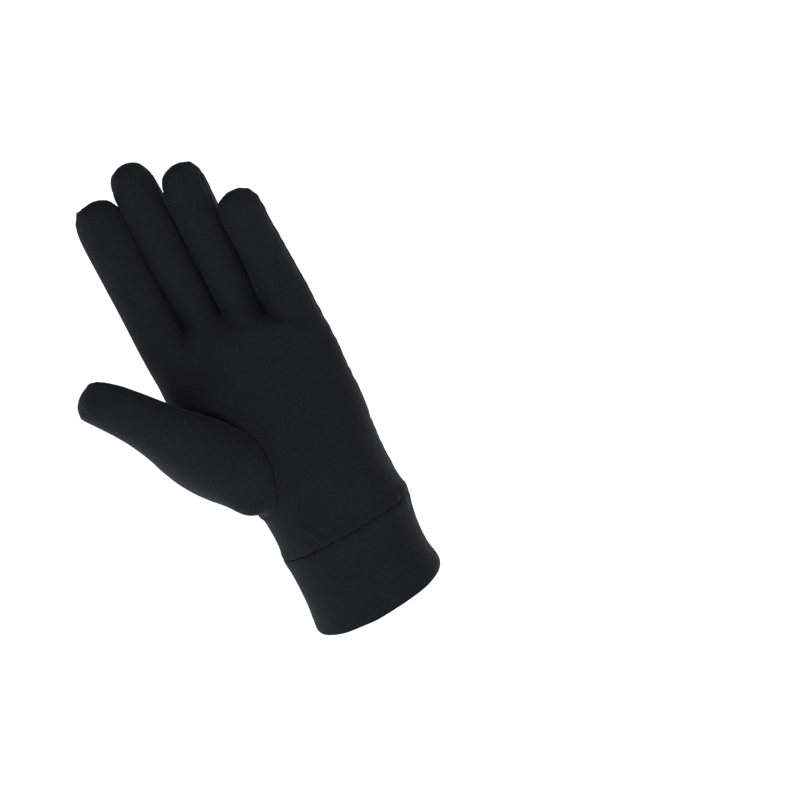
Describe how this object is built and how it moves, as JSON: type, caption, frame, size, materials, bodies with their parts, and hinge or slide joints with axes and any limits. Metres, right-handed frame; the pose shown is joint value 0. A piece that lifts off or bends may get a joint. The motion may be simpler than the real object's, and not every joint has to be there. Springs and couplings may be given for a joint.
{
  "type": "glove liner",
  "caption": "Thin close-fitting knit glove liner for a left hand, with a set-in thumb, strips between the fingers and a folded cuff.",
  "frame": {"origin": "the middle of the wrist opening at the cuff's folded rim, on the axis of the forearm", "axes": "+Z from the wrist to the fingertips, -Y out of the palm, -X towards the thumb's side, +X towards the little finger"},
  "size_m": [0.1243, 0.0731, 0.2489],
  "materials": {
    "knit": "fine stretch knit, matt near-black navy"
  },
  "bodies": {
    "root": {"hand": "knit", "fourchette_index_middle": "knit", "fourchette_middle_ring": "knit", "fourchette_ring_little": "knit", "thumb": "knit", "cuff": "knit"}
  },
  "joints": []
}
